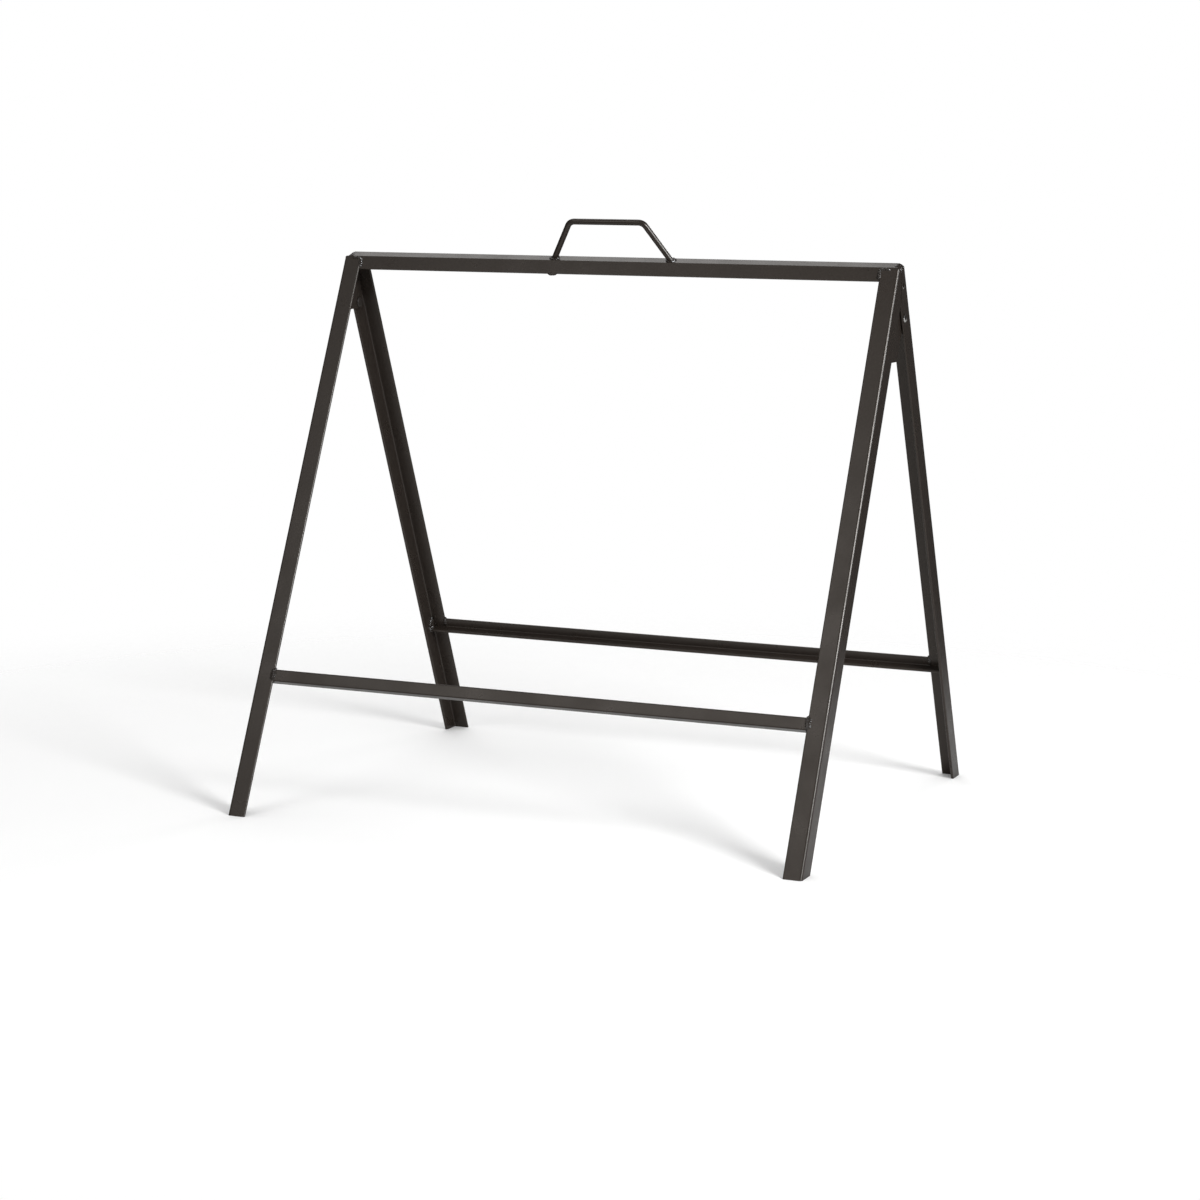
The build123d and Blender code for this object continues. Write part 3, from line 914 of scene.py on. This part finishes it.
class HOLDER_OT_corner_welds(bpy.types.Operator):
    """Lays the beads at the top corners of both frames"""

    bl_idname = "holder.corner_welds"
    bl_label = "Lay Corner Welds"

    def execute(self, context):
        draw = random.Random(welds().seed)
        bm = bmesh.new()
        front_corner_beads(bm, front_matrix(), draw)
        finish_piece(bm, "front_corner_beads", "front_frame", ["front_top_welds"], weld_material())
        bm = bmesh.new()
        rear_corner_beads(bm, rear_matrix(), draw)
        finish_piece(bm, "rear_corner_beads", "rear_frame", ["rear_top_welds"], weld_material())
        return {"FINISHED"}


def rail_beads(bm, matrix, half, ledge, draw):
    """Beads at both ends of a lower rail: on its face, behind it and in its corners."""
    size = sizes()
    bottom = ledge + size.wall
    web = bottom - size.rail
    onto_leg, past, above, clear, toe = 0.0008, 0.0006, 0.001, 0.0015, 0.0005
    nook_low, nook_high = -ledge + 0.0040, -ledge + 0.0125
    fillet = tuple(welds().fillet * share for share in FILLET_SHARES)
    back, inner, outer = -size.wall, -size.wall - clear, -size.rail + toe
    for hand in (1, -1):
        seam = hand * (half - size.leg_face)
        inside = hand * (half - size.wall)
        face = seam + hand * onto_leg
        for start, end, normal, bead in (
            # On the web's face and behind it
            ((face, -bottom + past, 0), (face, -web + past, 0), (0, 0, 1), RAIL_FACE_BEAD),
            ((seam, -ledge + above, back), (seam, -web, back), (0, 0, -1), RAIL_BACK_BEAD),
            # Above and below the web
            ((seam, -web, past), (seam, -web, back - past), (-hand, 1, 0), fillet),
            ((seam, -bottom, -past), (seam, -bottom, back), (-hand, -1, 0), fillet),
            # Under the ledge, up its toe and over it
            ((inside, -bottom, inner), (inside, -bottom, outer), (-hand, -1, 0), fillet),
            ((inside, -bottom, -size.rail), (inside, nook_low, -size.rail), (-hand, 0, -1), fillet),
            ((inside, -ledge, outer), (inside, -ledge, inner), (-hand, 1, 0), fillet),
            # In the nook above the ledge
            (
                (inside, nook_low, outer), (inside, nook_high, back - toe), (-hand, 0.2, -0.2),
                NOOK_BEAD,
            ),
        ):
            straight_bead(bm, matrix, start, end, normal, draw, bead)


class HOLDER_OT_rail_welds(bpy.types.Operator):
    """Lays the beads at the ends of both lower rails"""

    bl_idname = "holder.rail_welds"
    bl_label = "Lay Rail Welds"

    def execute(self, context):
        size = sizes()
        draw = random.Random(welds().seed + 1)
        bm = bmesh.new()
        rail_beads(bm, front_matrix(), FRONT_HALF, size.front_ledge, draw)
        finish_piece(bm, "front_rail_beads", "front_frame", ["front_lower_welds"], weld_material())
        bm = bmesh.new()
        rail_beads(bm, rear_matrix(), REAR_HALF, size.rear_ledge, draw)
        finish_piece(bm, "rear_rail_beads", "rear_frame", ["rear_lower_welds"], weld_material())
        return {"FINISHED"}


class HOLDER_OT_plate_welds(bpy.types.Operator):
    """Lays the stitches along the hinge plates"""

    bl_idname = "holder.plate_welds"
    bl_label = "Lay Plate Welds"

    def execute(self, context):
        draw = random.Random(welds().seed + 2)
        bm = bmesh.new()
        matrix = front_matrix()
        inverse = matrix.inverted()
        for hand, node in ((1, "right_hinge_plate"), (-1, "left_hinge_plate")):
            low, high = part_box(node)
            top = (inverse @ Vector((0, PIVOT.y, high.z))).y
            bottom = (inverse @ Vector((0, low.y, low.z))).y
            inside = hand * (FRONT_HALF - sizes().wall)
            for begin, run in ((top - STITCH_TOP, -STITCH), (bottom + STITCH_LOW, STITCH)):
                start, end = (inside, begin, -STITCH_BACK), (inside, begin + run, -STITCH_BACK)
                straight_bead(bm, matrix, start, end, (-hand, 0, 1), draw, STITCH_BEAD)
        finish_piece(bm, "plate_stitches", "front_frame", ["hinge_plate_welds"], weld_material())
        return {"FINISHED"}


class HOLDER_OT_handle_welds(bpy.types.Operator):
    """Lays a bead round each foot of the handle"""

    bl_idname = "holder.handle_welds"
    bl_label = "Lay Handle Welds"

    def execute(self, context):
        size = sizes()
        draw = random.Random(welds().seed + 3)
        bm = bmesh.new()
        matrix = rear_matrix()
        lean = math.atan2((size.handle_feet - size.handle_top) / 2, size.handle_height)
        for hand in (1, -1):
            foot = Vector((hand * size.handle_feet / 2 - HANDLE_MIDDLE, 0, -size.rail / 2))
            points, normals = [], []
            begin = draw.uniform(0, math.tau)
            for step in range(FOOT_STEPS + 1):
                turn = begin + math.tau * FOOT_TURNS * step / FOOT_STEPS
                out = Vector((math.cos(turn) / math.cos(lean), 0, math.sin(turn)))
                points.append(matrix @ (foot + out * (size.rod_radius + FOOT_GAP)))
                normal = out.normalized() * FOOT_TILT + Vector((0, 1, 0))
                normals.append((matrix.to_3x3() @ normal).normalized())
            add_bead(bm, points, normals, *FOOT_BEAD, draw)
        finish_piece(bm, "handle_foot_beads", "rear_frame", ["handle_welds"], weld_material())
        return {"FINISHED"}


class HOLDER_OT_drip(bpy.types.Operator):
    """Hangs the run of coat under the front bar"""

    bl_idname = "holder.drip"
    bl_label = "Hang Drip"

    def execute(self, context):
        size = sizes()
        draw = random.Random(welds().seed + 4)
        bm = bmesh.new()
        spare_width, spare_height = 0.0004, 0.0003
        bead = (size.wall - size.bar_setback + spare_width, size.drip_drop + spare_height)
        half = size.drip_width / 2
        height = -size.top_bar
        middle = -(size.bar_setback + size.wall) / 2
        start, end = (size.drip_x - half, height, middle), (size.drip_x + half, height, middle)
        straight_bead(bm, front_matrix(), start, end, (0, -1, 0), draw, bead, blunt=2.5, calm=0.15)
        finish_piece(bm, "bar_drip", "front_frame", ["top_bar_drip"], coat_material())
        return {"FINISHED"}


def area_light(name, place, extent, roll, power):
    """Soft rectangular light that looks at the middle of the stage."""
    data = bpy.data.lights.new(name, "AREA")
    data.shape = "RECTANGLE"
    data.size, data.size_y = extent
    data.energy = power
    lamp = bpy.data.objects.new(name, data)
    lamp.location = place
    lamp.rotation_mode = "QUATERNION"
    aim = (Vector(STAGE_MIDDLE) - Vector(place)).to_track_quat("-Z", "Y")
    lamp.rotation_quaternion = aim @ Quaternion((0, 0, 1), roll)
    bpy.context.scene.collection.objects.link(lamp)
    return lamp


def studio_world():
    """White backdrop to the camera, soft even light on the scene, dim in reflections."""
    world = bpy.data.worlds.new("studio")
    world.use_nodes = True
    tree = world.node_tree
    tree.nodes.clear()
    output = tree.nodes.new("ShaderNodeOutputWorld")
    ray = tree.nodes.new("ShaderNodeLightPath")
    soft, white, dim = (tree.nodes.new("ShaderNodeBackground") for _ in range(3))
    for background, strength in ((soft, WORLD_SOFT), (white, WORLD_WHITE), (dim, WORLD_DIM)):
        background.inputs["Color"].default_value = (1, 1, 1, 1)
        background.inputs["Strength"].default_value = strength
    shiny, seen = (tree.nodes.new("ShaderNodeMixShader") for _ in range(2))
    link_nodes(
        tree,
        (ray.outputs["Is Glossy Ray"], shiny.inputs[0]),
        (soft.outputs[0], shiny.inputs[1]),
        (dim.outputs[0], shiny.inputs[2]),
        (ray.outputs["Is Camera Ray"], seen.inputs[0]),
        (shiny.outputs[0], seen.inputs[1]),
        (white.outputs[0], seen.inputs[2]),
        (seen.outputs[0], output.inputs["Surface"]),
    )
    bpy.context.scene.world = world


class HOLDER_OT_stage(bpy.types.Operator):
    """Sets the floor, the soft lights and the camera"""

    bl_idname = "holder.stage"
    bl_label = "Set Stage"

    def execute(self, context):
        stage = context.scene.holder_stage
        bm = bmesh.new()
        bmesh.ops.create_circle(bm, cap_ends=True, radius=stage.floor_radius, segments=FLOOR_SIDES)
        mesh = bpy.data.meshes.new("studio_floor")
        bm.to_mesh(mesh)
        bm.free()
        floor = bpy.data.objects.new("studio_floor", mesh)
        context.scene.collection.objects.link(floor)
        mesh.materials.append(floor_material())
        for name, (place, extent, roll) in SOFTBOXES.items():
            lamp = area_light(name + "_softbox", place, extent, roll, getattr(stage, name))
            if name == "side":
                lamp.data.color = SIDE_COLOUR
                lamp.visible_diffuse = False
        studio_world()
        data = bpy.data.cameras.new("photo_camera")
        data.sensor_width = SENSOR
        data.lens = stage.lens
        data.clip_end = FARTHEST
        camera = bpy.data.objects.new("photo_camera", data)
        turn = Matrix.Rotation(stage.yaw, 4, "Z")
        turn = turn @ Matrix.Rotation(math.pi / 2 - stage.pitch, 4, "X")
        turn = turn @ Matrix.Rotation(stage.roll, 4, "Z")
        camera.matrix_world = Matrix.Translation(stage.camera) @ turn
        context.scene.collection.objects.link(camera)
        context.scene.camera = camera
        context.scene.view_settings.view_transform = "Standard"
        return {"FINISHED"}


class HOLDER_PT_panel(bpy.types.Panel):
    """Lists the steps that dress the sign holder"""

    bl_idname = "HOLDER_PT_panel"
    bl_label = "Sign Holder"
    bl_space_type = "VIEW_3D"
    bl_region_type = "UI"
    bl_category = "Sign Holder"

    def draw(self, context):
        column = self.layout.column(align=True)
        for step in STEPS:
            column.operator(step.bl_idname)


STEPS = (
    HOLDER_OT_coat,
    HOLDER_OT_rivets,
    HOLDER_OT_corner_welds,
    HOLDER_OT_rail_welds,
    HOLDER_OT_plate_welds,
    HOLDER_OT_handle_welds,
    HOLDER_OT_drip,
    HOLDER_OT_stage,
)


def register():
    """Registers the settings, the steps and the panel."""
    for name, group in GROUPS.items():
        bpy.utils.register_class(group)
        setattr(bpy.types.Scene, name, PointerProperty(type=group))
    for step in STEPS:
        bpy.utils.register_class(step)
    bpy.utils.register_class(HOLDER_PT_panel)


def unregister():
    """Takes the panel, the steps and the settings away again."""
    bpy.utils.unregister_class(HOLDER_PT_panel)
    for step in reversed(STEPS):
        bpy.utils.unregister_class(step)
    for name, group in reversed(GROUPS.items()):
        delattr(bpy.types.Scene, name)
        bpy.utils.unregister_class(group)


def main():
    """Runs every step in order."""
    register()
    for step in STEPS:
        family, name = step.bl_idname.split(".")
        getattr(getattr(bpy.ops, family), name)()


if __name__ == "__main__":
    main()
